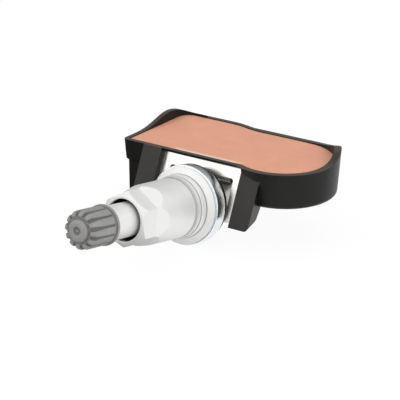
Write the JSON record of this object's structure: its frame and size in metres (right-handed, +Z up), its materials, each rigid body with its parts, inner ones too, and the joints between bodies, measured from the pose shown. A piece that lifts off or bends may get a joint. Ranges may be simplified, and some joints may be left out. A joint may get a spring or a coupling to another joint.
{
  "type": "tyre pressure sensor",
  "caption": "Clamp-in tyre pressure sensor: potted black housing with a rounded battery lobe, bright bracket, swivelling aluminium valve with collar nut, washer and ribbed cap.",
  "frame": {"origin": "the rim seat: the centre of the grommet's sealing face, on the valve's axis", "axes": "+Z up out of the potted face, +X along the housing towards the battery lobe, the valve leaves towards -Y and rises 10 degrees"},
  "size_m": [0.0556, 0.0774, 0.0232],
  "materials": {
    "black_plastic": "fine-grained moulding",
    "potting": "matt, self-levelled",
    "board": "solder mask",
    "cell_steel": "satin",
    "nickel": "bright nickel plate",
    "chip": "moulded",
    "rubber": "matt",
    "ferrite": "ground",
    "copper": "enamelled wire",
    "ceramic": "sintered",
    "aluminium": "satin, bead-blasted and clear anodised",
    "screw_steel": "zinc plate",
    "chrome": "bright plate",
    "brass": "turned",
    "grey_plastic": "moulded, satin"
  },
  "bodies": {
    "housing": {"housing": "black_plastic", "potting": "potting", "circuit_board": "board", "coin_cell": "cell_steel", "cell_tab_top": "nickel", "cell_tab_bottom": "nickel", "sensor_chip": "chip", "port_gasket": "rubber", "coil_core": "ferrite", "coil_winding": "copper", "antenna": "copper", "crystal": "cell_steel", "capacitors": "ceramic", "bracket": "nickel"},
    "stem": {"valve_stem": "aluminium", "grommet": "rubber", "saddle_washer": "screw_steel", "clamp_screw": "screw_steel", "core_body": "brass", "core_gasket": "rubber", "core_spring": "screw_steel"},
    "rim_washer": {"rim_washer": "chrome"},
    "nut": {"collar_nut": "aluminium"},
    "pin": {"core_pin": "brass", "plunger_seal": "rubber"},
    "cap_seal": {"cap_seal": "rubber"},
    "cap": {"valve_cap": "grey_plastic"}
  },
  "joints": [
    {"name": "valve_tilt", "type": "hinge", "parent": "housing", "child": "stem", "pos_m": [0, 0.00837, -0.00148], "axis": [-1, 0, 0], "range_deg": [-5, 8]},
    {"name": "washer_slide", "type": "slide", "parent": "stem", "child": "rim_washer", "axis": [0, -0.9848, 0.1736], "range_m": [0, 0.0061]},
    {"name": "nut_turn", "type": "hinge", "parent": "rim_washer", "child": "nut", "pos_m": [0, -0.01576, 0.00278], "axis": [0, -0.9848, 0.1736], "range_deg": [0, 2160]},
    {"name": "pin_press", "type": "slide", "parent": "stem", "child": "pin", "axis": [0, 0.9848, -0.1736], "range_m": [0, 0.001], "stiffness_N_per_m": 1500, "deforming": ["core_spring"]},
    {"name": "cap_slide", "type": "slide", "parent": "stem", "child": "cap_seal", "axis": [0, -0.9848, 0.1736], "range_m": [0, 0.0048]},
    {"name": "cap_turn", "type": "hinge", "parent": "cap_seal", "child": "cap", "pos_m": [0, -0.03939, 0.00695], "axis": [0, -0.9848, 0.1736], "range_deg": [0, 2160]}
  ],
  "couplings": [
    {"joint": "washer_slide", "follows": "nut_turn", "m_per_rad": 0.00015915},
    {"joint": "cap_slide", "follows": "cap_turn", "m_per_rad": 0.00012637}
  ]
}
